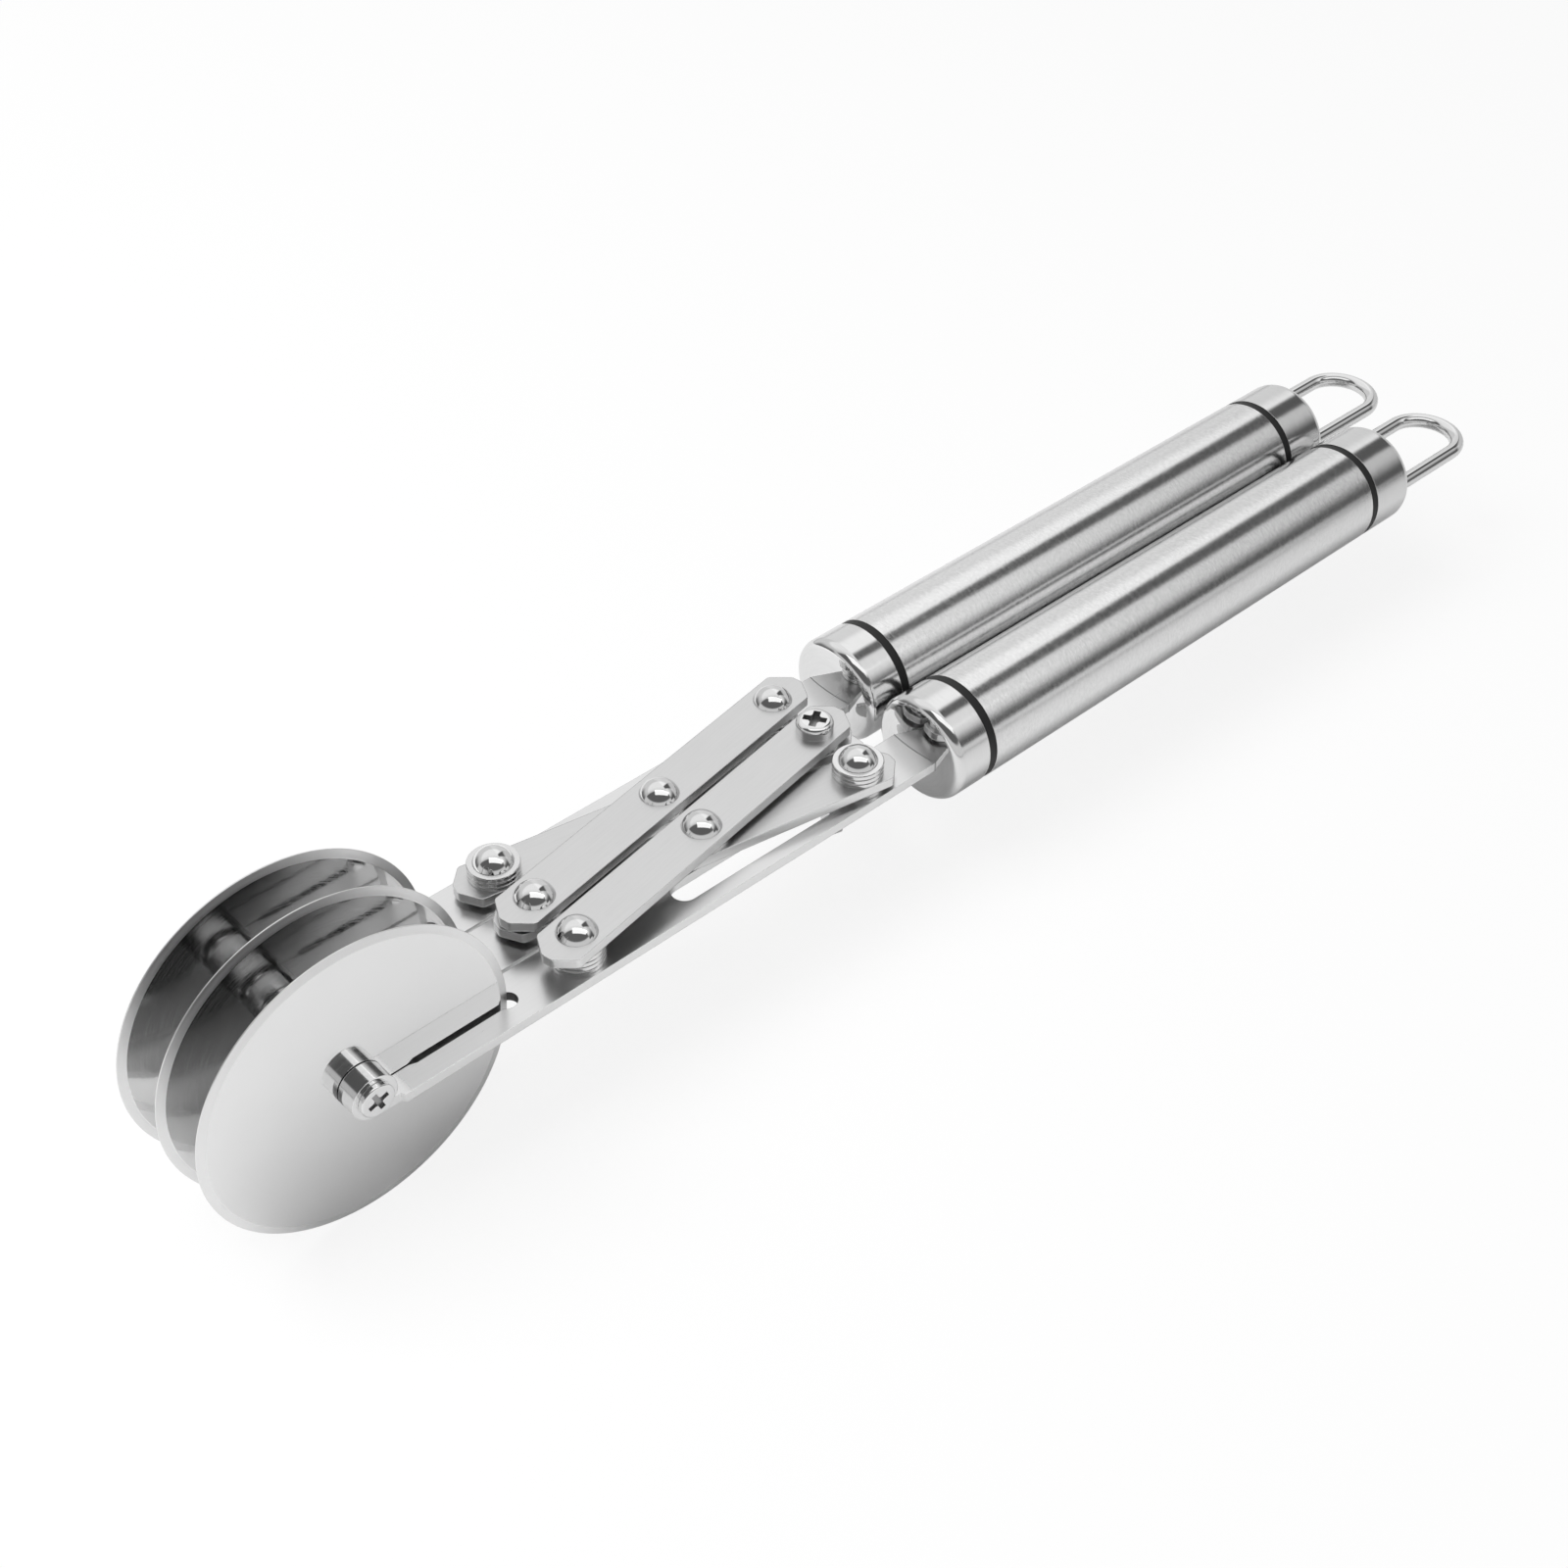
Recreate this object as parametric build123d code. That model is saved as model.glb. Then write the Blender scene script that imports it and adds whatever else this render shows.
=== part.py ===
from build123d import *
import math
import os

# An expandable dough cutter with three wheels and two tube handles, all of stainless steel.
# Three flat arms lie side by side. Each has a wheel in a fork at its front end, and the two outer arms end
# in handles. Two pairs of crossed links, one pair above the other, join the arms: their front ends turn on
# fixed rivets and their rear ends slide in slots, so the wheels stay evenly spaced as the handles part.
#
# X runs from the wheels to the handles, Y from the near arm to the far arm, and Z up from the arms to the
# links. The origin is where the middle wheel's edge meets the worktop. The cutter is modelled closed, with
# its arms level. Sizes are millimetres.

# Wheels
wheel_radius = 30.0
wheel_thickness = 1.0
bevel_width = 1.6
cutting_edge = 0.2
wheel_side_gap = 0.15

# Axles: a headed post, tapped at its near end for a cross-recess screw
post_radius = 2.35
axle_screw_radius = 1.5
axle_screw_length = 6.5
axle_head_radius = 3.25
axle_head_round = 0.3
axle_head_room = 0.3
tapping_depth = 8.0
axle_recess_length = 4.0
axle_recess_width = 1.0
axle_recess_depth = 0.6
axle_recess_turn = 20.0

# Arms: strip with a fork whose ends are rolled upwards into eyes round the axle
sheet = 2.0
arm_gap = 0.7
fork_gap = 0.65
relief_radius = 1.95
eye_neck = 9.2
neck_taper = 1.4
eye_shoulder = 4.6
eye_inset = 0.85
eye_seam = 0.1
arm_end_wall = 6.0
arm_corner = 2.0
tang_length = 24.0

# Links
link_span = 68.0
link_gap = 1.9
link_overhang = 7.8
link_corner = 2.9
link_nose = 2.2
link_round = 1.2
pivot_setback = 15.6
widest_angle = 69.0

# Rivets, washers, clamp screw and wing nut
pin_radius = 2.5
rivet_head_radius = 3.8
rivet_head_height = 2.6
rivet_tail_radius = 3.5
rivet_tail_height = 1.0
tail_clearance = 0.3
washer_radius = 4.9
washer_thickness = 1.0
washer_bevel = 0.15
screw_head_radius = 3.65
screw_head_height = 2.6
screw_head_round = 1.1
screw_recess_length = 4.6
screw_recess_width = 1.4
screw_recess_depth = 1.4
screw_recess_turn = 33.0
recess_heart = 0.9
screw_end = 1.0
nut_base_radius = 4.6
nut_top_radius = 3.7
nut_height = 4.8
wing_root = 1.0
wing_reach = 10.0
wing_height = 10.5
wing_tip = 4.0
wing_thickness = 2.0
wing_turn = 15.0

# Handles: tube between two crowned plugs, with a black ring at each joint and a wire loop at the rear
handle_radius = 11.1
handle_gap = 1.6
handle_setback = 14.75
front_cap_length = 9.9
rear_cap_length = 13.1
crown_radius = 36.0
cap_edge = 2.0
ring_width = 1.95
ring_recess = 0.15
tube_length = 118.3
tube_wall = 0.8
spigot_depth = 8.0
wire_radius = 1.6
wire_depth = 8.0
loop_edge = 3.4
loop_reach = 26.2

# Fits: radial clearances, and the play left between stacked pieces
running_fit = 0.05
slide_fit = 0.15
washer_fit = 0.15
tang_fit = 0.1
slot_end_room = 0.5
stack_play = 0.05

# The handles set how close the arms come, and the arms and links fill that spacing.
pitch = handle_radius + handle_gap / 2
arm_width = pitch - arm_gap
closed_angle = math.degrees(math.asin(pitch / link_span))
link_width = pitch * math.cos(math.radians(closed_angle)) - link_gap

# Heights are drawn from the axles. The arm's strip leaves the eye at its lowest point, and the links stack
# on washers above the arm. At the end everything is lifted onto the worktop by the wheel's radius.
eye_inner = post_radius + running_fit
eye_outer = eye_inner + sheet
arm_bottom = -eye_outer
arm_top = arm_bottom + sheet
layer_gap = washer_thickness + stack_play
lower_bottom = arm_top + layer_gap
lower_top = lower_bottom + sheet
upper_bottom = lower_top + layer_gap
upper_top = upper_bottom + sheet

# Stations along the tool
pivot_x = wheel_radius + pivot_setback
slide_x = pivot_x + link_span * math.cos(math.radians(closed_angle))
cross_x = (pivot_x + slide_x) / 2
slot_radius = pin_radius + slide_fit
slot_front = pivot_x + link_span * math.cos(math.radians(widest_angle)) - slide_fit
slot_rear = slide_x + slot_end_room
handle_x = slide_x + handle_setback

# Half widths across one arm
arm_half = arm_width / 2
fork_half = wheel_thickness / 2 + fork_gap
eye_side = wheel_thickness / 2 + wheel_side_gap
eye_end = arm_half - eye_inset
axle_seat = eye_end + stack_play
axle_head_height = (pitch - axle_head_room) / 2 - axle_seat

UP = (0, 0, 1)


def rod_x(radius, start, end):
    return Pos((start + end) / 2, 0, 0) * Rot(0, 90, 0) * Cylinder(radius, end - start)


def rod_y(radius, start, end):
    return Pos(0, (start + end) / 2, 0) * Rot(90, 0, 0) * Cylinder(radius, end - start)


def rod_z(radius, start, end):
    return Pos(0, 0, (start + end) / 2) * Cylinder(radius, end - start)


def dome(radius, height):
    """A low round head on its flat underside, a cap of a ball."""
    ball = (radius**2 + height**2) / (2 * height)
    half_turn = math.asin(radius / ball) / 2
    crown = (ball * math.sin(half_turn), height - ball + ball * math.cos(half_turn))
    outline = Curve() + [
        Line((0, 0), (radius, 0)),
        ThreePointArc((radius, 0), crown, (0, height)),
        Line((0, height), (0, 0)),
    ]
    return revolve(Plane.XZ * make_face(outline), Axis.Z)


def cross_recess(length, width, depth):
    """A screwdriver cross with a round heart that is cut down from z = 0."""
    bar = Box(length, width, 2 * depth)
    return bar + Rot(0, 0, 90) * bar + Cylinder(recess_heart * width, 2 * depth)


def washer(base):
    """A flat washer whose underside is at the given height, with its rim edges broken."""
    hole = pin_radius + washer_fit
    rim = washer_radius
    low, high = base, base + washer_thickness
    profile = Polyline(
        (hole, low),
        (rim - washer_bevel, low),
        (rim, low + washer_bevel),
        (rim, high - washer_bevel),
        (rim - washer_bevel, high),
        (hole, high),
        close=True,
    )
    return revolve(Plane.XZ * make_face(profile), Axis.Z)


def washer_stack(base, count):
    return [washer(base + level * washer_thickness) for level in range(count)]


def rivet(low, high, tail_height):
    """A pin with a round head above the upper seat and a flatter formed tail under the lower one."""
    shank = rod_z(pin_radius, low, high)
    head = Pos(0, 0, high) * dome(rivet_head_radius, rivet_head_height)
    tail = Pos(0, 0, low) * Rot(180, 0, 0) * dome(rivet_tail_radius, tail_height)
    return shank + head + tail


def wheel():
    """A plain disc, ground to a thin edge from both sides."""
    half, edge = wheel_thickness / 2, cutting_edge / 2
    bore = post_radius + running_fit
    profile = Polyline(
        (bore, -half),
        (wheel_radius - bevel_width, -half),
        (wheel_radius, -edge),
        (wheel_radius, edge),
        (wheel_radius - bevel_width, half),
        (bore, half),
        close=True,
    )
    return revolve(make_face(profile), Axis.Y)


def axle_head():
    """The low pan head that both ends of an axle have, standing on z = 0."""
    head = rod_z(axle_head_radius, 0, axle_head_height)
    return fillet(head.edges().sort_by(Axis.Z)[-1], axle_head_round)


def axle_post():
    """The post through both eyes and the wheel, with its head at the far end."""
    head = Pos(0, axle_seat, 0) * Rot(-90, 0, 0) * axle_head()
    shank = rod_y(post_radius, -eye_end, axle_seat)
    return shank + head - rod_y(axle_screw_radius + running_fit, -eye_end, tapping_depth - eye_end)


def axle_screw():
    """The screw in the near end of the post: a low cross-recess head and a plain shank."""
    recess = cross_recess(axle_recess_length, axle_recess_width, axle_recess_depth)
    head = axle_head() - Pos(0, 0, axle_head_height) * Rot(0, 0, axle_recess_turn) * recess
    screw = head + rod_z(axle_screw_radius, -axle_screw_length, 0)
    return Pos(0, -axle_seat, 0) * Rot(90, 0, 0) * screw


def arm(rear):
    """One arm, from its rolled eyes to the given rear end."""
    neck_end = eye_neck + neck_taper
    half_plan = make_face(
        Polyline(
            (0, eye_side),
            (eye_neck, eye_side),
            (neck_end, fork_half),
            (wheel_radius, fork_half),
            (wheel_radius, 0),
            (rear, 0),
            (rear, arm_half),
            (eye_shoulder + eye_inset / 2, arm_half),
            (eye_shoulder, eye_end),
            (0, eye_end),
            close=True,
        )
    )
    plan = half_plan + mirror(half_plan, Plane.XZ)
    plan = fillet(plan.vertices().group_by(Axis.X)[-1], arm_corner)
    plan -= Pos(wheel_radius, 0) * Circle(relief_radius)
    plan -= Pos(pivot_x, 0) * Circle(pin_radius + running_fit)
    plan -= Pos((slot_front + slot_rear) / 2, 0) * SlotCenterToCenter(slot_rear - slot_front, 2 * slot_radius)
    strip = Pos(0, 0, arm_bottom) * extrude(plan, sheet, dir=UP)

    # Each eye is a tube whose rolled end stops just above the strip that it grew from.
    eye_width = eye_end - eye_side
    seam_top = arm_top + eye_seam
    under_seam = Pos(eye_outer, 0, seam_top - eye_outer) * Box(2 * eye_outer, eye_width, 2 * eye_outer)
    eye = rod_y(eye_outer, -eye_width / 2, eye_width / 2) - rod_y(eye_inner, -eye_width / 2, eye_width / 2)
    eye -= under_seam
    for side in (-1, 1):
        strip += Pos(0, side * (eye_side + eye_end) / 2, 0) * eye
    return strip


def link():
    """A strip with clipped corners and three pivot holes, centred on the middle one."""
    end = link_span / 2 + link_overhang
    shoulder = end - link_corner
    half, nose = link_width / 2, link_nose / 2
    quarter = Polyline((0, 0), (end, 0), (end, nose), (shoulder, half), (0, half), close=True)
    half_plan = make_face(quarter) + mirror(make_face(quarter), Plane.XZ)
    plan = half_plan + mirror(half_plan, Plane.YZ)
    plan = fillet(plan.vertices(), link_round)
    for x in (-link_span / 2, 0, link_span / 2):
        plan -= Pos(x, 0) * Circle(pin_radius + running_fit)
    return extrude(plan, sheet, dir=UP)


def clamp_screw(end):
    """The pan-head screw at the rear of the middle arm, down to the given height."""
    head = Pos(0, 0, upper_top) * rod_z(screw_head_radius, 0, screw_head_height)
    head = fillet(head.edges().sort_by(Axis.Z)[-1], screw_head_round)
    recess = cross_recess(screw_recess_length, screw_recess_width, screw_recess_depth)
    head -= Pos(0, 0, upper_top + screw_head_height) * Rot(0, 0, screw_recess_turn) * recess
    return head + rod_z(pin_radius, end, upper_top)


def wing_nut(seat):
    """The nut that locks the spacing from below, its wings hanging down from the given seat."""
    tip_round = 0.45 * wing_tip
    outline = make_face(
        Polyline(
            (0, wing_root),
            (wing_reach, wing_height - wing_tip),
            (wing_reach, wing_height),
            (wing_reach - wing_tip, wing_height),
            (0, nut_height),
            close=True,
        )
    )
    outer = outline.vertices().filter_by(lambda corner: corner.X > nut_base_radius)
    wing = extrude(Plane.XZ * fillet(outer, tip_round), wing_thickness / 2, both=True)
    body = Pos(0, 0, nut_height / 2) * Cone(nut_base_radius, nut_top_radius, nut_height)
    nut = body + wing + mirror(wing, Plane.YZ) - rod_z(pin_radius + running_fit, 0, wing_height)
    return Pos(0, 0, seat) * Rot(0, 0, 90 - wing_turn) * Rot(180, 0, 0) * nut


# Stations of the handle's pieces, from the top of the front crown
front_joint = handle_x + front_cap_length
tube_start = front_joint + ring_width
tube_end = tube_start + tube_length
rear_joint = tube_end + ring_width
rear_face = rear_joint + rear_cap_length
spigot_radius = handle_radius - tube_wall - running_fit
handle_z = arm_bottom + sheet / 2
loop_half = handle_radius - loop_edge


def crowned_end(length):
    """A cap's outside, from the top of its low crown at x = 0, over a rounded edge and along the skirt."""
    drop = crown_radius - math.sqrt(crown_radius**2 - handle_radius**2)
    halfway = crown_radius - math.sqrt(crown_radius**2 - (handle_radius / 2) ** 2)
    profile = Curve() + [
        ThreePointArc((0, 0), (halfway, handle_radius / 2), (drop, handle_radius)),
        Line((drop, handle_radius), (length, handle_radius)),
        Line((length, handle_radius), (length, 0)),
        Line((length, 0), (0, 0)),
    ]
    face = make_face(profile)
    rim = face.vertices().sort_by_distance((drop, handle_radius, 0))[0]
    return revolve(fillet(rim, cap_edge), Axis.X)


def front_cap():
    """The front plug, slotted for the arm's tang."""
    cap = Pos(handle_x, 0, 0) * crowned_end(front_cap_length)
    cap += rod_x(spigot_radius, front_joint, tube_start + spigot_depth)
    length = tube_start + spigot_depth - handle_x
    slot = Box(length, arm_width + 2 * tang_fit, sheet + 2 * tang_fit)
    return cap - Pos(handle_x + length / 2, 0, 0) * slot


def rear_cap():
    """The rear plug, with two blind holes for the loop's legs."""
    cap = Pos(rear_face, 0, 0) * Rot(0, 0, 180) * crowned_end(rear_cap_length)
    cap += rod_x(spigot_radius, tube_end - spigot_depth, rear_joint)
    hole = rod_x(wire_radius + running_fit, rear_face - wire_depth, rear_face)
    return cap - Pos(0, loop_half, 0) * hole - Pos(0, -loop_half, 0) * hole


def joint_ring(start):
    inner, outer = spigot_radius + running_fit, handle_radius - ring_recess
    return rod_x(outer, start, start + ring_width) - rod_x(inner, start, start + ring_width)


def handle_tube():
    return rod_x(handle_radius, tube_start, tube_end) - rod_x(handle_radius - tube_wall, tube_start, tube_end)


def hanging_loop():
    """A bent wire: two straight legs joined by a half circle."""
    start = rear_face - wire_depth
    bend = rear_face + loop_reach - loop_half
    path = Curve() + [
        Line((start, loop_half), (bend, loop_half)),
        ThreePointArc((bend, loop_half), (bend + loop_half, 0), (bend, -loop_half)),
        Line((bend, -loop_half), (start, -loop_half)),
    ]
    section = Plane(origin=(start, loop_half, 0), z_dir=(1, 0, 0)) * Circle(wire_radius)
    return sweep(section, path=path)


# Levels where rivets, washers and nut sit under the arms
under_arm = arm_bottom
under_washer = arm_bottom - layer_gap
cross_tail = layer_gap - tail_clearance

nodes = {}

# Arms, wheels and axles
outer_arm = arm(handle_x + tang_length)
middle_rear = slot_rear + slot_radius + arm_end_wall
nodes["middle_arm"] = arm(middle_rear)
nodes["near_arm"] = Pos(0, -pitch, 0) * outer_arm
nodes["far_arm"] = Pos(0, pitch, 0) * outer_arm
for side, y in (("near", -pitch), ("middle", 0), ("far", pitch)):
    nodes[side + "_wheel"] = Pos(0, y, 0) * wheel()
    nodes[side + "_axle_post"] = Pos(0, y, 0) * axle_post()
    nodes[side + "_axle_screw"] = Pos(0, y, 0) * axle_screw()

# Links: each pair crosses halfway between two neighbouring arms
for side, y in (("near", -pitch / 2), ("far", pitch / 2)):
    nodes["upper_link_" + side] = Pos(cross_x, y, upper_bottom) * Rot(0, 0, closed_angle) * link()
    nodes["lower_link_" + side] = Pos(cross_x, y, lower_bottom) * Rot(0, 0, -closed_angle) * link()

# Front pivots, fixed in the arms
for side, y in (("near", -pitch), ("middle", 0), ("far", pitch)):
    nodes[side + "_pivot_rivet"] = Pos(pivot_x, y, 0) * rivet(under_arm, upper_top, rivet_tail_height)
front_washers = {
    "near": (-pitch, washer_stack(arm_top, 4)),
    "middle": (0, washer_stack(arm_top, 1) + washer_stack(lower_top, 1)),
    "far": (pitch, washer_stack(arm_top, 1) + washer_stack(lower_top, 3)),
}
for side, (y, stack) in front_washers.items():
    nodes[side + "_pivot_washers"] = Pos(pivot_x, y, 0) * Compound(stack)

# Crossing pivots, which join one upper and one lower link
for side, y in (("near", -pitch / 2), ("far", pitch / 2)):
    nodes[side + "_cross_rivet"] = Pos(cross_x, y, 0) * rivet(lower_bottom, upper_top, cross_tail)
    nodes[side + "_cross_washer"] = Pos(cross_x, y, 0) * washer(lower_top)

# Rear pins, which slide in the arms' slots: rivets on the outer arms, a clamp screw on the middle one
for side, y in (("near", -pitch), ("far", pitch)):
    nodes[side + "_slide_rivet"] = Pos(slide_x, y, 0) * rivet(under_washer, upper_top, rivet_tail_height)
low_washer = washer_stack(under_washer, 1)
rear_washers = {
    "near_slide": (-pitch, low_washer + washer_stack(arm_top + stack_play, 1) + washer_stack(lower_top, 3)),
    "clamp": (0, low_washer + washer_stack(arm_top + stack_play, 1) + washer_stack(lower_top, 1)),
    "far_slide": (pitch, low_washer + washer_stack(arm_top + stack_play, 4)),
}
for name, (y, stack) in rear_washers.items():
    nodes[name + "_washers"] = Pos(slide_x, y, 0) * Compound(stack)
nodes["clamp_screw"] = Pos(slide_x, 0, 0) * clamp_screw(under_washer - nut_height - screw_end)
nodes["wing_nut"] = Pos(slide_x, 0, 0) * wing_nut(under_washer)

# Handles
for side, y in (("near", -pitch), ("far", pitch)):
    place = Pos(0, y, handle_z)
    nodes[side + "_front_cap"] = place * front_cap()
    nodes[side + "_front_ring"] = place * joint_ring(front_joint)
    nodes[side + "_handle_tube"] = place * handle_tube()
    nodes[side + "_rear_ring"] = place * joint_ring(tube_end)
    nodes[side + "_rear_cap"] = place * rear_cap()
    nodes[side + "_hanging_loop"] = place * hanging_loop()

os.makedirs("parts", exist_ok=True)
for name, shape in nodes.items():
    export_step(Pos(0, 0, wheel_radius) * shape, f"parts/{name}.step")
print(len(nodes), "nodes; wheel spacing", round(pitch, 2), "to",
      round(link_span * math.sin(math.radians(widest_angle)), 2))
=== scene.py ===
# %% [markdown]
# # A three-wheel dough cutter on lazy-tongs arms
# Three polished discs run in forked arms, and crossed links keep the arms the same distance
# apart while the two handles open them. Every solid of the tool comes from the measured model,
# so this lesson is about finishes and light: how one metal, stainless steel, becomes a mirror,
# a satin sheet or a brushed tube, and how a plain studio makes it read as steel.

# %% Load the measured tool
import math

import bmesh
import bpy
from mathutils import Matrix, Vector

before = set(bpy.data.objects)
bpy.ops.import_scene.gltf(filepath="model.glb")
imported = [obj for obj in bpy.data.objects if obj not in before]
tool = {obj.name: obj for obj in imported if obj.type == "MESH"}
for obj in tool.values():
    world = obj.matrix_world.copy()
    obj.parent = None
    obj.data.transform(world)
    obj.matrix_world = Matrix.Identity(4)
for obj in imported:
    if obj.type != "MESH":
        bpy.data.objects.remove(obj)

scene = bpy.context.scene
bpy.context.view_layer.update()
mm = 1e-3

# %% [markdown]
# ## The camera
# The photograph looks down on the wheels from the near side. Its place was worked out from the
# rivets and the wheel rims, whose true positions are known. A long lens at 42 degrees down keeps
# the discs nearly as round as they are. The focal length is known in pixels of a picture 1600
# wide, and Blender wants it for a film 36 mm wide.

# %% Stand the camera where the photograph was taken
film_width, picture_width, focal_pixels = 36.0, 1600, 2327.2
standpoint = (-0.11489, -0.23966, 0.31270)
bearing, dip, roll = (math.radians(angle) for angle in (42.499, 41.563, 0.156))
eye = bpy.data.cameras.new("photo_camera")
eye.sensor_width = film_width
eye.lens = focal_pixels / picture_width * film_width
camera = bpy.data.objects.new("photo_camera", eye)
scene.collection.objects.link(camera)
forward = math.cos(dip)
looking = Vector((math.sin(bearing) * forward, math.cos(bearing) * forward, -math.sin(dip)))
turn = looking.to_track_quat("-Z", "Y").to_matrix().to_4x4() @ Matrix.Rotation(roll, 4, "Z")
camera.matrix_world = Matrix.Translation(standpoint) @ turn
scene.camera = camera
print("camera", round(eye.lens, 2), "mm lens, looking", [round(part, 3) for part in looking])

# %% [markdown]
# ## Laying nodes
# A material is a small graph of nodes. Building one by hand in the editor is a matter of adding
# a node, typing its numbers and dragging links. The first helper does the same three things, the
# second does sums, and the third turns a value smoothly from one number into another.

# %% Three helpers for node graphs
def lay(tree, kind, fills=None, **options):
    """Add one node; fills are values or links for its sockets, options are its own switches."""
    made = tree.nodes.new("ShaderNode" + kind)
    for option, choice in options.items():
        setattr(made, option, choice)
    for socket, fill in (fills or {}).items():
        if isinstance(fill, bpy.types.NodeSocket):
            tree.links.new(fill, made.inputs[socket])
        else:
            made.inputs[socket].default_value = fill
    return made


def reckon(tree, operation, *terms):
    return lay(tree, "Math", dict(enumerate(terms)), operation=operation).outputs[0]


def ease(tree, value, start, stop, low=0.0, high=1.0):
    """low up to start, high from stop on, and a smooth change between; stop may lie below start."""
    fills = {"Value": value, "From Min": start, "From Max": stop, "To Min": low, "To Max": high}
    return lay(tree, "MapRange", fills, interpolation_type="SMOOTHSTEP").outputs[0]


# %% [markdown]
# ## The table
# The real tool was set on a white sweep, and one large plane does for it. It lies a twentieth of
# a millimetre under the wheels' edges, so that it shares no plane with the tool. It isn't part of
# the tool.

# %% Roll out the table
table_size, table_middle, table_drop = 4.0, 0.15, 0.05 * mm
paper = bmesh.new()
bmesh.ops.create_grid(paper, x_segments=1, y_segments=1, size=table_size)
bmesh.ops.translate(paper, verts=paper.verts, vec=(table_middle, 0.0, -table_drop))
table_mesh = bpy.data.meshes.new("table")
paper.to_mesh(table_mesh)
paper.free()
table = bpy.data.objects.new("table", table_mesh)
scene.collection.objects.link(table)
print("table at", round(table_mesh.vertices[0].co.z / mm, 3), "mm, just under the wheels' edges")

# %% [markdown]
# ## Rays and directions
# Paper and room both look different to the camera and to a mirror, and the Light Path node tells
# which of them a ray comes from. The other two helpers blend two values by such a mask, and
# measure how far a vector goes in a direction.

# %% Three more helpers
def who_looks(tree):
    """Two masks: the camera's own rays, and rays that a mirror or glass sends on."""
    rays = lay(tree, "LightPath").outputs
    mirrored = reckon(tree, "MAXIMUM", rays["Is Glossy Ray"], rays["Is Transmission Ray"])
    return rays["Is Camera Ray"], mirrored


def between(tree, share, first, second):
    return lay(tree, "Mix", {0: share, 2: first, 3: second}, data_type="FLOAT").outputs[0]


def reach(tree, vector, direction):
    fills = {0: vector, 1: direction}
    return lay(tree, "VectorMath", fills, operation="DOT_PRODUCT").outputs["Value"]


# %% [markdown]
# ## The table's paper
# White paper takes the key lamp's light and the tool's own soft shadow, but alone it would print
# grey. So for the camera it is blended with an even white. Mirrors get only a small share of that
# white, because the shadow under the tool is what shades the lower side of the wheels and
# handles, and what they get falls off towards the back right.

# %% White paper on the table
pure_white, paper_white = (1.0, 1.0, 1.0, 1.0), (0.9, 0.9, 0.9, 1.0)
camera_share, mirror_share, back_right = 0.86, 0.08, (0.8, 0.6, 0.0)
table_paper = bpy.data.materials.new("table_paper")
table_paper.use_nodes = True
tree = table_paper.node_tree
tree.nodes.clear()
from_camera, mirrored = who_looks(tree)
even_white = reckon(tree, "MULTIPLY", from_camera, camera_share)
even_white = reckon(tree, "MULTIPLY_ADD", mirrored, mirror_share, even_white)
spot = lay(tree, "TexCoord").outputs["Object"]
falling_off = ease(tree, reach(tree, spot, back_right), start=0.02, stop=0.25, low=1.05, high=0.80)
white = between(tree, mirrored, 1.0, falling_off)
matt = lay(tree, "BsdfDiffuse", {"Color": paper_white}).outputs[0]
glow = lay(tree, "Emission", {"Color": pure_white, "Strength": white}).outputs[0]
blend = lay(tree, "MixShader", {0: even_white, 1: matt, 2: glow}).outputs[0]
lay(tree, "OutputMaterial", {"Surface": blend})
table_mesh.materials.append(table_paper)
print("share of even white:", camera_share, "for the camera,", mirror_share, "in mirrors")

# %% [markdown]
# ## The room
# Polished steel has no look of its own: it shows the room. Walls could be built as meshes, but
# the world can draw them as smooth changes with direction, which are quicker to move. It needs a
# compass: how far a ray goes along the tool, across it and up, and how nearly it faces a given
# direction.

# %% Start the room with a compass
studio = bpy.data.worlds.new("studio")
studio.use_nodes = True
scene.world = studio
tree = studio.node_tree
tree.nodes.clear()
way = lay(tree, "TexCoord").outputs["Generated"]
along, across, height = lay(tree, "SeparateXYZ", {0: way}).outputs


def facing(direction):
    """1 straight towards the direction, 0 square to it and -1 away from it."""
    return reach(studio.node_tree, way, Vector(direction).normalized())


print("world", studio.name, "has its compass")

# %% [markdown]
# ## The room's left half
# A white backdrop stands behind the tool, brighter above. At its left there is a window, and its
# left end is dim near the floor. The camera's side is dark above a low pale wall. Where two masks
# both have to hold they are multiplied, and a short helper does that.

# %% Draw the backdrop and the camera's side
def shared(tree, mask, *others):
    for other in others:
        mask = reckon(tree, "MULTIPLY", mask, other)
    return mask


backdrop = ease(tree, height, start=0.50, stop=0.64, low=0.75, high=1.02)
behind = ease(tree, facing((0.6, 0.8, 0.0)), start=-0.5, stop=0.35, low=0.35, high=1.0)
backdrop = shared(tree, backdrop, behind)
left_window = ease(tree, facing((-0.92, 0.20, 0.34)), start=0.88, stop=0.97, low=0.0, high=0.4)
left_end = ease(tree, facing((-0.86, 0.51, 0.0)), start=0.55, stop=0.85)
dusk, dusk_depth = shared(tree, left_end, ease(tree, height, start=0.45, stop=0.10)), 0.75
daylight = reckon(tree, "MULTIPLY_ADD", dusk, -dusk_depth, 1.0)
left_backdrop = shared(tree, reckon(tree, "ADD", backdrop, left_window), daylight)
camera_side = ease(tree, facing((0.63, 0.776, 0.0)), start=-0.02, stop=-0.16)
low_wall = ease(tree, height, start=0.30, stop=0.44, low=0.72, high=0.13)
left_room = between(tree, camera_side, left_backdrop, low_wall)
print("left half drawn,", len(tree.nodes), "nodes so far")

# %% [markdown]
# ## The room's right half
# Strips of wall and ceiling on a dark ground give the tubes their dark and light bands. The
# ceiling dims a little towards the right and ends in a pale wall there, which keeps the rivet
# heads light on that side. A pale sheet lies low on the camera's side.

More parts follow.
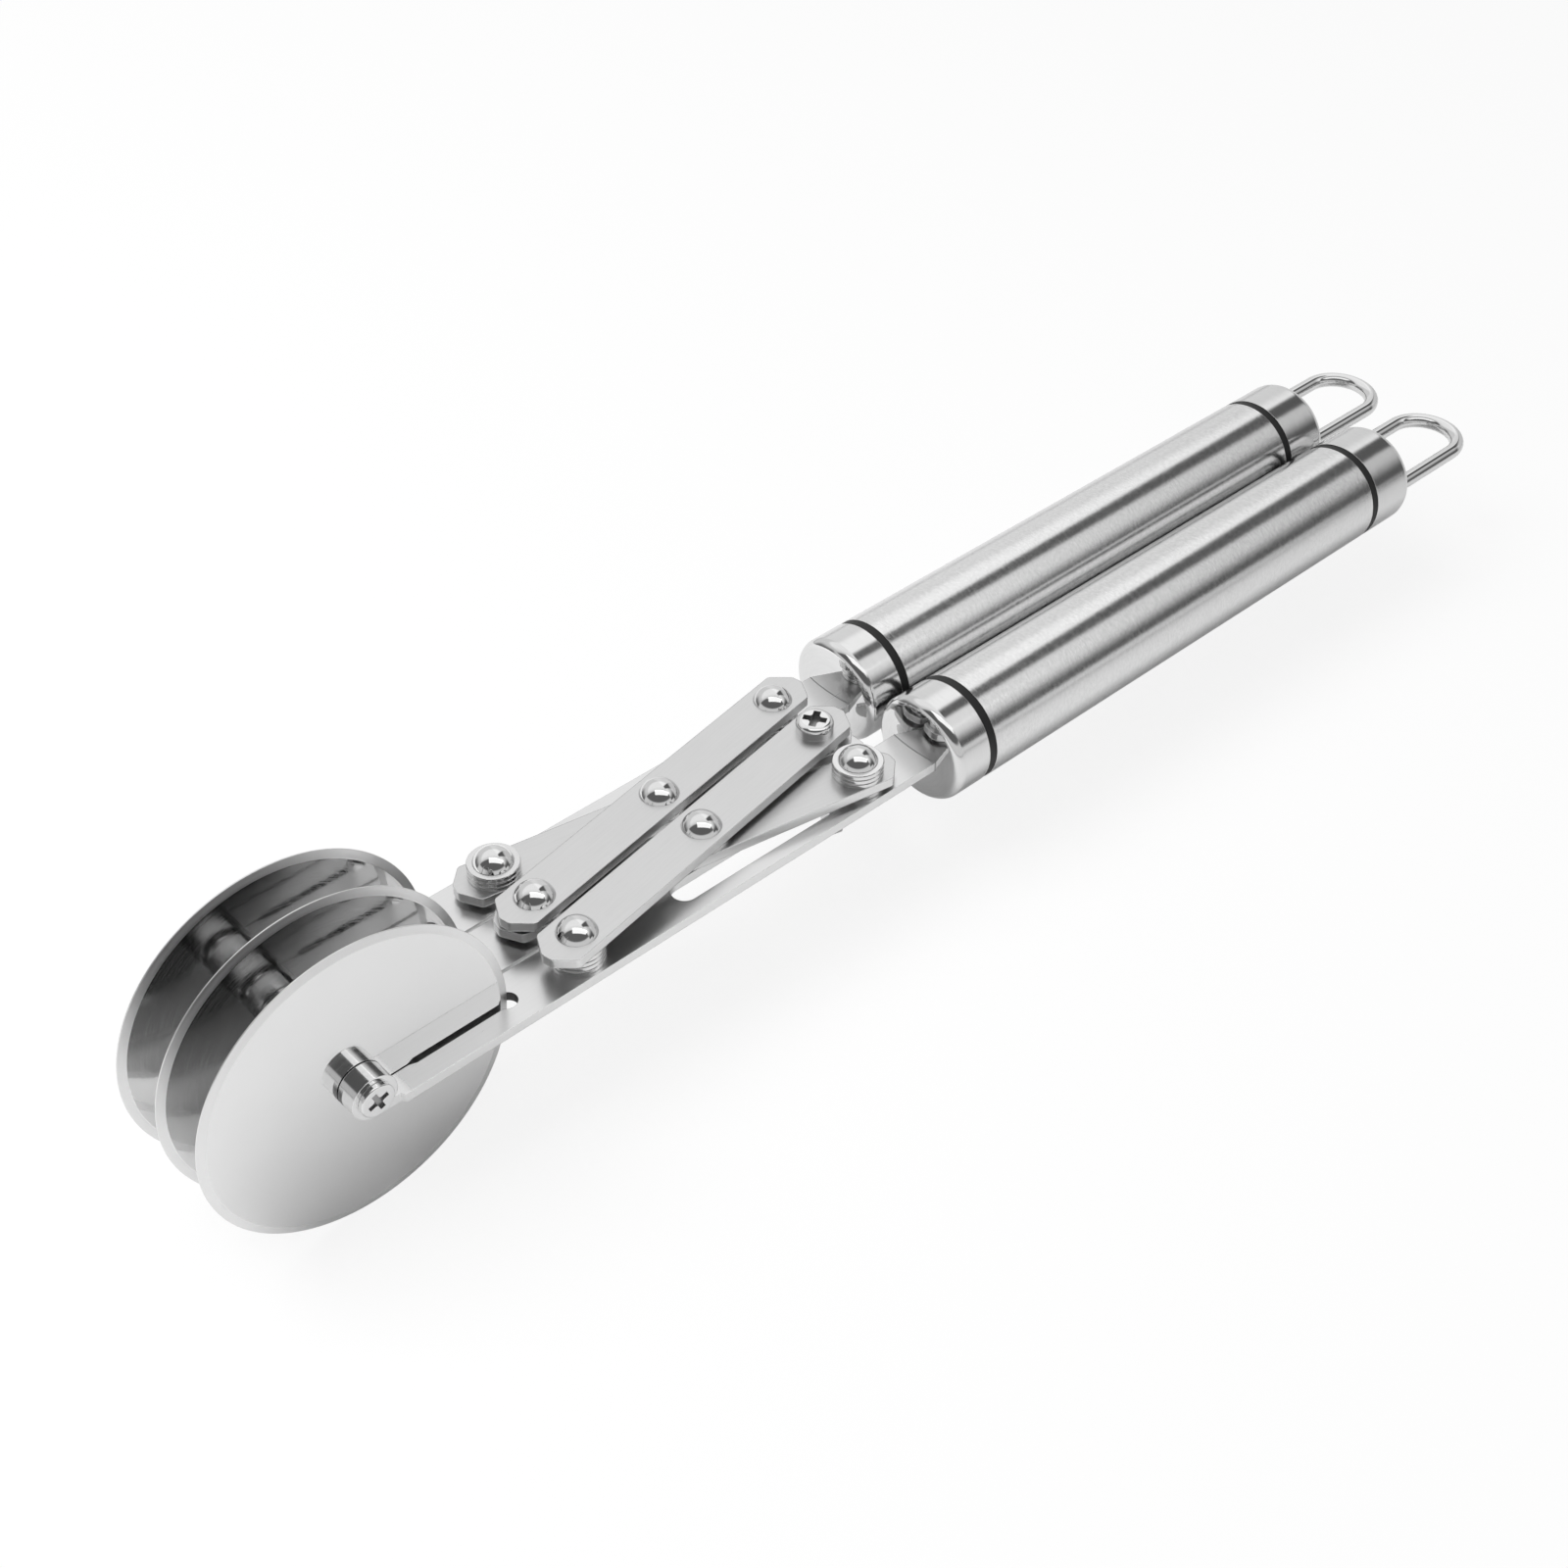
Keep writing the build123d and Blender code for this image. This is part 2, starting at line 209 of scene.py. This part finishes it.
# %% Draw the strips on the right
dark_ground, ceiling_slant = 0.11, 0.6
wall_near = ease(tree, across, start=-0.12, stop=-0.23)
wall_high = ease(tree, height, start=0.26, stop=0.60)
wall_fading = ease(tree, along, start=0.56, stop=0.75, low=0.86, high=0.50)
wall = shared(tree, wall_near, wall_high, wall_fading)
slanted = reckon(tree, "MULTIPLY_ADD", along, -ceiling_slant, across)
end_wall = ease(tree, along, start=0.80, stop=0.90, low=0.0, high=0.8)
ceiling = reckon(tree, "MAXIMUM", ease(tree, slanted, start=-0.28, stop=-0.17), end_wall)
ceiling = shared(tree, ceiling, ease(tree, along, start=0.58, stop=0.76, low=1.02, high=0.92))
sheet = shared(tree, camera_side, ease(tree, height, start=0.17, stop=0.11, low=0.0, high=0.66))
strips = reckon(tree, "ADD", wall, reckon(tree, "ADD", sheet, dark_ground))
right_room = reckon(tree, "MULTIPLY_ADD", backdrop, ceiling, strips)
print("right half drawn,", len(tree.nodes), "nodes so far")

# %% [markdown]
# ## Who sees the room
# Only mirror rays see what was drawn. The camera itself sees plain white behind the table, and
# matt surfaces get a soft light that comes more from above than from the sides.

# %% Join the halves
room = between(tree, ease(tree, along, start=0.42, stop=0.52), left_room, right_room)
soft_light = ease(tree, height, start=0.0, stop=1.0, low=0.10, high=0.50)
from_camera, mirrored = who_looks(tree)
level = between(tree, mirrored, soft_light, room)
level = between(tree, from_camera, level, 1.0)
sky = lay(tree, "Background", {"Color": pure_white, "Strength": level}).outputs[0]
lay(tree, "OutputWorld", {"Surface": sky})
print("room drawn with", len(tree.nodes), "nodes")

# %% [markdown]
# ## The lamps
# Two flat lamps hang above. The overhead card is there for mirrors only: it makes the small
# white patch on every rivet head. The key lamp stands high at the back left, and no mirror shows
# it. It lights the paper, so that the shadow falls to the front and right, where the steel
# reflects it.

# %% Hang two soft lamps
def soft_box(name, width, depth, level, place, aim):
    """A flat lamp; its power follows its size, so level alone says how bright it looks."""
    lamp = bpy.data.lights.new(name, "AREA")
    lamp.shape = "RECTANGLE"
    lamp.size, lamp.size_y = width, depth
    lamp.energy = level * math.pi * width * depth
    hung = bpy.data.objects.new(name, lamp)
    hung.matrix_world = Matrix.Translation(place) @ aim
    hung.visible_camera = False
    scene.collection.objects.link(hung)
    print(name, round(lamp.energy, 2), "W")
    return hung


card_place, square_on = Vector((0.15, -0.30, 0.68)), Matrix.Rotation(-bearing, 4, "Z")
overhead = soft_box(
    "overhead_card", width=1.0, depth=0.34, level=1.15, place=card_place, aim=square_on)
overhead.visible_diffuse = False
key_place, tool_middle = Vector((-0.38, 0.30, 0.90)), Vector((0.13, 0.0, 0.02))
at_tool = (tool_middle - key_place).to_track_quat("-Z", "Y").to_matrix().to_4x4()
key = soft_box("key_lamp", width=0.7, depth=0.6, level=7.9, place=key_place, aim=at_tool)
key.visible_glossy = False

# %% [markdown]
# ## What the steel shares
# Sheet and bar of the same alloy differ only in how they were rubbed. Every finish has a hair of
# rounding on its sharp edges, which the Bevel node gives to the shading alone. On most of them the
# edges' colour is also painted a little lighter than the faces, a painted highlight, and on some
# they are smoother too.

# %% Helpers for steel and its edges
def steel(name):
    finish = bpy.data.materials.new(name)
    finish.use_nodes = True
    shader = finish.node_tree.nodes["Principled BSDF"]
    shader.inputs["Metallic"].default_value = 1.0
    return finish, finish.node_tree, shader


def rounded_edges(tree, radius):
    return lay(tree, "Bevel", {"Radius": radius}, samples=6).outputs["Normal"]


# The mask below marks the edges whose colour is painted lighter as a highlight; some finishes also
# make them smoother.
def edge_highlight_mask(tree, rounded):
    """1 along the edges, where the rounded normal turns away from the flat one."""
    flat = lay(tree, "NewGeometry").outputs["Normal"]
    return ease(tree, reach(tree, rounded, flat), start=0.985, stop=0.86)


# %% [markdown]
# ## Tone, gloss and relief
# Each finish below has a tone, a gloss and a fine relief. All three are sums: a base value, and
# masks that each add their share. Most masks are noise, read in metres on the piece itself and
# pulled out along the way the surface was rubbed.

# %% Helpers for marks and sums
def rub_marks(tree, per_metre, turned=0.0, detail=4.0):
    """Noise with so many marks per metre along each axis, turned about the upright."""
    spot = lay(tree, "TexCoord").outputs["Object"]
    spacing = [1.0 / marks for marks in per_metre]
    fills = {"Vector": spot, "Rotation": (0.0, 0.0, turned), "Scale": spacing}
    pulled = lay(tree, "Mapping", fills, vector_type="TEXTURE").outputs[0]
    fills = {"Vector": pulled, "Scale": 1.0, "Detail": detail, "Roughness": 0.6}
    return lay(tree, "TexNoise", fills).outputs[0]


def mixed(tree, base, *parts):
    """base plus every mask in its share."""
    total = base
    for share, mask in parts:
        total = reckon(tree, "MULTIPLY_ADD", mask, share, total)
    return total


def join_up(tree, shader, tone, gloss, relief, depth, rounded):
    """Lead a finish into its shader; depth is how high a relief of 1 stands."""
    fills = {"Height": relief, "Distance": depth, "Strength": 1.0, "Normal": rounded}
    bumped = lay(tree, "Bump", fills).outputs[0]
    tree.links.new(tone, shader.inputs["Base Color"])
    tree.links.new(gloss, shader.inputs["Roughness"])
    tree.links.new(bumped, shader.inputs["Normal"])


# %% [markdown]
# ## Dressing the pieces
# The solids keep their shapes, and only what is in their material slots changes. A set remembers
# which pieces have a finish, so that none is forgotten.

# %% A helper that dresses pieces
sides, handles = ("near", "middle", "far"), ("near", "far")
dressed = set()


def dress(finish, names):
    for name in names:
        for slot in tool[name].material_slots:
            slot.material = finish
        dressed.add(name)
    print(finish.name, "on", len(names), "pieces")


# %% [markdown]
# ## Rings on the wheels
# Buffing on a spindle leaves very fine rings about the axle. The distance from the axle drives
# them, so the pattern turns with the wheel. A little of the place itself is added, because real
# rings aren't the same all the way round.

# %% Measure out from the axle
def out_from(tree, place, keep):
    """The way out from an axis and its length; keep is 0 along the axis and 1 across it."""
    spot = lay(tree, "TexCoord").outputs["Object"]
    outward = lay(tree, "Mapping", {"Vector": spot, "Location": place, "Scale": keep}).outputs[0]
    return outward, lay(tree, "VectorMath", {0: outward}, operation="LENGTH").outputs["Value"]


buffed_wheel, tree, shader = steel("buffed_wheel")
axle_height, rings_per_metre, drift = 30 * mm, 9000.0, 60.0
outward, radius = out_from(tree, (0.0, 0.0, -axle_height), (1.0, 0.0, 1.0))
ringed = reckon(tree, "MULTIPLY", radius, rings_per_metre)
fills = {0: outward, 1: [drift] * 3, 2: lay(tree, "CombineXYZ", {0: ringed}).outputs[0]}
ringed = lay(tree, "VectorMath", fills, operation="MULTIPLY_ADD").outputs[0]
rings = lay(tree, "TexNoise", {"Vector": ringed, "Scale": 1.0, "Detail": 3.0}).outputs[0]
print("about one ring every", round(1.0 / rings_per_metre / mm, 2), "mm")

# %% [markdown]
# ## The wheels
# The discs are buffed to a mirror: each shows its neighbour's eye and screw. The rings are clear
# and hazy in turn, so a sharp reflection and a soft one lie over each other. The haze spreads
# across the rings more than along them, which is what the anisotropy does. The cutting bevel is
# ground afterwards and stays duller.

# %% Polished wheels with a ground bevel
bevel_start, micron = 28.4 * mm, 1e-6
ground = ease(tree, radius, start=bevel_start - 0.05 * mm, stop=bevel_start + 0.1 * mm)
clouds = rub_marks(tree, [90.0] * 3)
hazy = ease(tree, rings, start=0.48, stop=0.62)
rounded = rounded_edges(tree, radius=0.12 * mm)
edge_highlight = edge_highlight_mask(tree, rounded)
# Lighter edges here are a painted highlight.
tone = mixed(tree, 0.71, (0.03, rings), (0.03, clouds), (0.01, ground), (0.05, edge_highlight))
gloss = mixed(tree, 0.03, (0.12, hazy), (0.02, clouds), (0.28, ground))
relief = mixed(tree, 0.0, (0.06, rings), (4.0, clouds))
join_up(tree, shader, tone, gloss, relief, depth=3 * micron, rounded=rounded)
to_world = {"vector_type": "VECTOR", "convert_from": "OBJECT", "convert_to": "WORLD"}
across_rings = lay(tree, "VectorTransform", {0: outward}, **to_world).outputs[0]
tree.links.new(across_rings, shader.inputs["Tangent"])
shader.inputs["Anisotropic"].default_value = 0.5
dress(buffed_wheel, [side + "_wheel" for side in sides])

# %% [markdown]
# ## Painted shade in the arms' slots
# The walls of the slot in which a wheel runs face the wheel across a narrow gap, where shade falls.
# Their colour is darkened as painted shade, and they are made rougher. A mask finds them: faces
# that stand upright, near an arm's middle line, in front of the slot's end. The outer arms lie one
# pitch to either side of the middle one.

# %% Find the shaded slot walls
def upright_faces(tree):
    """1 on faces that stand upright, 0 on faces that lie flat."""
    normal = lay(tree, "NewGeometry").outputs["Normal"]
    tilt = lay(tree, "SeparateXYZ", {0: normal}).outputs[2]
    return ease(tree, reckon(tree, "ABSOLUTE", tilt), start=0.6, stop=0.3)


satin_arm, tree, shader = steel("satin_arm")
arm_pitch, slot_half, slot_end = 11.9 * mm, 1.7 * mm, 36 * mm
spot = lay(tree, "TexCoord").outputs["Object"]
along, across, _ = lay(tree, "SeparateXYZ", {0: spot}).outputs
from_centre = reckon(tree, "ABSOLUTE", across)
from_outer = reckon(tree, "ABSOLUTE", reckon(tree, "SUBTRACT", from_centre, arm_pitch))
from_middle = reckon(tree, "MINIMUM", from_centre, from_outer)
in_slot = ease(tree, from_middle, start=slot_half + 0.2 * mm, stop=slot_half)
before_end = ease(tree, along, start=slot_end, stop=slot_end - 0.5 * mm)
shaded = shared(tree, in_slot, before_end, upright_faces(tree))
print("sawn walls within", round(slot_half / mm, 2), "mm of each arm's middle line")

# %% [markdown]
# ## The arms
# Each arm is a strip of sheet, drawn along its length through a belt, so its satin lines run
# from the wheel to the handle. The ends are rolled into eyes and polished with the wheels' hubs.
# The lines are noise stretched along the arm, and the polish fades in just before the eye.

# %% Satin arms with polished eyes
lines = rub_marks(tree, (70.0, 2600.0, 2600.0))
clouds = rub_marks(tree, (60.0, 120.0, 120.0))
eye_polish = ease(tree, along, start=6.8 * mm, stop=5.2 * mm)
rounded = rounded_edges(tree, radius=0.16 * mm)
edge_highlight = edge_highlight_mask(tree, rounded)
# Lighter edges here are a painted highlight, and the darkened slot walls are painted shade.
tone = mixed(tree, 0.715, (0.05, lines), (0.03, clouds), (0.05, edge_highlight), (-0.62, shaded))
gloss = mixed(tree, 0.24, (0.06, lines), (0.04, clouds), (-0.24, eye_polish))
gloss = mixed(tree, gloss, (-0.10, edge_highlight), (0.30, shaded))
relief = mixed(tree, 0.0, (0.5, lines), (2.0, clouds))
join_up(tree, shader, tone, gloss, relief, depth=2 * micron, rounded=rounded)
dress(satin_arm, [side + "_arm" for side in sides])

# %% [markdown]
# ## The links
# The four links are punched from the same sheet and tumbled, so they are a little duller than
# the arms. Their upright punched edges are painted lighter, a painted highlight. Their satin lines
# follow each link's own length, ten degrees to either side of the arms, so there are two finishes
# that differ only in their turn.

# %% Satin links, upper and lower
closed_angle = math.radians(10.08)
for layer, lean in (("upper", closed_angle), ("lower", -closed_angle)):
    satin_link, tree, shader = steel("satin_" + layer + "_link")
    lines = rub_marks(tree, (90.0, 2200.0, 2200.0), lean)
    clouds = rub_marks(tree, (100.0, 160.0, 160.0), lean)
    pits = rub_marks(tree, [1500.0] * 3, lean, detail=2.0)
    rounded = rounded_edges(tree, radius=0.3 * mm)
    edge_highlight = edge_highlight_mask(tree, rounded)
    side_highlight = upright_faces(tree)
    # Lighter edges and lighter upright side faces here are painted highlights.
    tone = mixed(tree, 0.605, (0.08, lines), (0.05, clouds), (0.05, edge_highlight), (0.07, side_highlight))
    gloss = mixed(tree, 0.26, (0.08, lines), (0.05, clouds), (0.04, pits), (-0.12, edge_highlight))
    relief = mixed(tree, 0.0, (0.3, lines), (0.15, pits), (1.0, clouds))
    join_up(tree, shader, tone, gloss, relief, depth=1 * micron, rounded=rounded)
    dress(satin_link, [layer + "_link_" + side for side in handles])

# %% [markdown]
# ## Painted shade in the screws' recesses
# The cross recesses of the screws lie in shade, so their colour is darkened as painted shade, and
# they are rougher. Two masks find them by their depth under the head's face: the axle screws repeat
# from arm to arm, so the depth is wrapped at the arms' pitch, and the clamp screw is measured down
# from its top.

# %% Find the crosses for painted shade
def recess_shade_mask(tree, aside, widest, sunk, floor):
    """1 near the screw's axis, from just under the head's face down to the cross's floor."""
    within = ease(tree, aside, start=widest, stop=widest - 0.1 * mm)
    above_floor = ease(tree, sunk, start=floor + 0.2 * mm, stop=floor + 0.1 * mm)
    under_face = ease(tree, sunk, start=0.04 * mm, stop=0.12 * mm)
    return shared(tree, within, above_floor, under_face)


struck_head, tree, shader = steel("struck_head")
axle_face, clamp_at, clamp_top = -17.7 * mm, 112.55 * mm, 36.3 * mm
spot = lay(tree, "TexCoord").outputs["Object"]
_, across, height = lay(tree, "SeparateXYZ", {0: spot}).outputs
_, aside = out_from(tree, (0.0, 0.0, -axle_height), (1.0, 0.0, 1.0))
sunk = reckon(tree, "WRAP", reckon(tree, "SUBTRACT", across, axle_face), arm_pitch, 0.0)
axle_cross = recess_shade_mask(tree, aside, widest=2.2 * mm, sunk=sunk, floor=0.6 * mm)
_, aside = out_from(tree, (-clamp_at, 0.0, 0.0), (1.0, 1.0, 0.0))
sunk = reckon(tree, "SUBTRACT", clamp_top, height)
clamp_cross = recess_shade_mask(tree, aside, widest=2.5 * mm, sunk=sunk, floor=1.4 * mm)
cross = reckon(tree, "MAXIMUM", axle_cross, clamp_cross)
print("clamp screw's top at", round(clamp_top / mm, 1), "mm")

# %% [markdown]
# ## Rivets, screws and the wing nut
# Rivet heads are struck in a polished die and come out bright, with only the faintest dimpling.
# They act as small round mirrors, so their finish is nearly clear gloss, with a soft mottling
# at the size of the dimples. The axle posts, the screws and the wing nut share it.

# %% Bright struck heads
dimples = rub_marks(tree, [650.0] * 3, detail=2.0)
clouds = rub_marks(tree, [220.0] * 3)
rounded = rounded_edges(tree, radius=0.12 * mm)
edge_highlight = edge_highlight_mask(tree, rounded)
# Lighter edges here are a painted highlight, and the darkened cross recesses are painted shade.
tone = mixed(tree, 0.70, (0.05, clouds), (0.03, dimples), (0.04, edge_highlight), (-0.40, cross))
gloss = mixed(tree, 0.03, (0.05, clouds), (0.03, dimples), (0.30, cross))
relief = mixed(tree, 0.0, (1.0, dimples))
join_up(tree, shader, tone, gloss, relief, depth=4 * micron, rounded=rounded)
on_each_arm = ("axle_post", "axle_screw", "pivot_rivet")
heads = [side + "_" + part for side in sides for part in on_each_arm]
heads += [side + "_" + part for side in handles for part in ("cross_rivet", "slide_rivet")]
dress(struck_head, heads + ["clamp_screw", "wing_nut"])

# %% [markdown]
# ## Washers
# Washers are stamped and barrel-finished, which leaves them brighter than the links but with a
# fine all-over scuff. The scuff is even in every direction, so the noise isn't stretched.

# %% Barrel-finished washers
scuffed_washer, tree, shader = steel("scuffed_washer")
scuff = rub_marks(tree, [1800.0] * 3, detail=3.0)
clouds = rub_marks(tree, [260.0] * 3)
rounded = rounded_edges(tree, radius=0.12 * mm)
edge_highlight = edge_highlight_mask(tree, rounded)
# Lighter edges here are a painted highlight.
tone = mixed(tree, 0.67, (0.05, scuff), (0.04, clouds), (0.06, edge_highlight))
gloss = mixed(tree, 0.09, (0.07, scuff), (0.04, clouds), (-0.03, edge_highlight))
relief = mixed(tree, 0.0, (1.0, scuff))
join_up(tree, shader, tone, gloss, relief, depth=1.5 * micron, rounded=rounded)
washers = [side + "_pivot_washers" for side in sides]
washers += [side + "_" + part for side in handles for part in ("cross_washer", "slide_washers")]
dress(scuffed_washer, washers + ["clamp_washers"])

# %% [markdown]
# ## The handle tubes
# The tubes were linished while they turned, so their hair-fine lines run round the girth and
# scatter light along the tube, while round the girth the reflections stay crisp. Noise that
# changes quickly along the tube and slowly round it gives those lines. Coarser specks over them
# make the grain that still shows when the whole tool is in the picture.

# %% Linished tubes
linished_tube, tree, shader = steel("linished_tube")
hairs = rub_marks(tree, (8000.0, 300.0, 300.0), detail=2.0)
specks = rub_marks(tree, (1900.0, 1100.0, 1100.0), detail=2.0)
clouds = rub_marks(tree, (40.0, 70.0, 70.0))
rounded = rounded_edges(tree, radius=0.1 * mm)
tone = mixed(tree, 0.575, (0.10, hairs), (0.03, clouds), (0.21, specks))
gloss = mixed(tree, 0.06, (0.06, hairs), (0.03, clouds), (0.12, specks))
relief = mixed(tree, 0.0, (1.0, hairs), (0.9, specks))
join_up(tree, shader, tone, gloss, relief, depth=10 * micron, rounded=rounded)
dress(linished_tube, [side + "_handle_tube" for side in handles])

# %% [markdown]
# ## The end caps
# Each cap is a turned plug with a low crown. Its skirt carries the same fine turning lines as
# the tube, and the crown is buffed bright, over the rounded edge too. The distance along the tool
# tells skirt from crown, and takes most of the lines' relief off the crown.

# %% Turned caps with bright crowns
turned_cap, tree, shader = steel("turned_cap")
front_crown, rear_crown, buffed_off = 130.0 * mm, 269.8 * mm, 0.9
spot = lay(tree, "TexCoord").outputs["Object"]
along = lay(tree, "SeparateXYZ", {0: spot}).outputs[0]
at_front = ease(tree, along, start=front_crown + 0.2 * mm, stop=front_crown - 0.1 * mm)
at_rear = ease(tree, along, start=rear_crown - 0.2 * mm, stop=rear_crown + 0.1 * mm)
bright = reckon(tree, "MAXIMUM", at_front, at_rear)
hush = reckon(tree, "SUBTRACT", 1.0, reckon(tree, "MULTIPLY", bright, buffed_off))
hairs = rub_marks(tree, (8000.0, 250.0, 250.0), detail=2.0)
clouds = rub_marks(tree, [200.0] * 3, detail=1.0)
rounded = rounded_edges(tree, radius=0.15 * mm)
edge_highlight = edge_highlight_mask(tree, rounded)
# Lighter edges here are a painted highlight.
tone = mixed(tree, 0.66, (0.10, hairs), (0.03, clouds), (0.05, edge_highlight))
gloss = mixed(tree, 0.09, (0.06, hairs), (0.03, clouds), (-0.10, bright))
relief = mixed(tree, 0.0, (1.0, shared(tree, hairs, hush)), (3.0, clouds))
join_up(tree, shader, tone, gloss, relief, depth=8 * micron, rounded=rounded)
ends = ("front", "rear")
dress(turned_cap, [side + "_" + end + "_cap" for side in handles for end in ends])

# %% [markdown]
# ## The black rings
# Between cap and tube sits a soft black ring. It is moulded rubber: matt, a shade off black,
# with a fine grain from the mould, and its edges are painted a little grey as a highlight. It is
# the one finish on the tool that isn't metal.

# %% Moulded black rings
moulded_ring = bpy.data.materials.new("moulded_ring")
moulded_ring.use_nodes = True
tree = moulded_ring.node_tree
shader = tree.nodes["Principled BSDF"]
shader.inputs["Specular IOR Level"].default_value = 0.35
mould = rub_marks(tree, [2600.0] * 3, detail=3.0)
dust = rub_marks(tree, [180.0] * 3)
rounded = rounded_edges(tree, radius=0.12 * mm)
edge_highlight = edge_highlight_mask(tree, rounded)
# Greyer edges here are a painted highlight.
tone = mixed(tree, 0.006, (0.006, mould), (0.006, dust), (0.02, edge_highlight))
gloss = mixed(tree, 0.42, (0.12, mould), (0.10, dust))
join_up(tree, shader, tone, gloss, mould, depth=10 * micron, rounded=rounded)
dress(moulded_ring, [side + "_" + end + "_ring" for side in handles for end in ends])

# %% [markdown]
# ## The hanging loops
# The loops are drawn wire, bent cold. Drawing leaves long fine lines along the wire and a clean
# bright skin, so the noise is stretched along the tool and the gloss is nearly clear.

# %% Drawn wire loops
drawn_wire, tree, shader = steel("drawn_wire")
drawn = rub_marks(tree, (120.0, 1500.0, 1500.0))
clouds = rub_marks(tree, [240.0] * 3)
rounded = rounded_edges(tree, radius=0.1 * mm)
tone = mixed(tree, 0.69, (0.05, drawn), (0.05, clouds))
gloss = mixed(tree, 0.02, (0.04, drawn), (0.03, clouds))
relief = mixed(tree, 0.0, (1.0, drawn))
join_up(tree, shader, tone, gloss, relief, depth=1.5 * micron, rounded=rounded)
dress(drawn_wire, [side + "_hanging_loop" for side in handles])

# %% [markdown]
# ## Closing the lesson
# A last look that every piece has its finish, and the picture's plain colour handling. Nothing was
# added to the tool's shape.

# %% Check and finish
assert dressed == set(tool), sorted(set(tool) - dressed)
scene.view_settings.view_transform = "Standard"
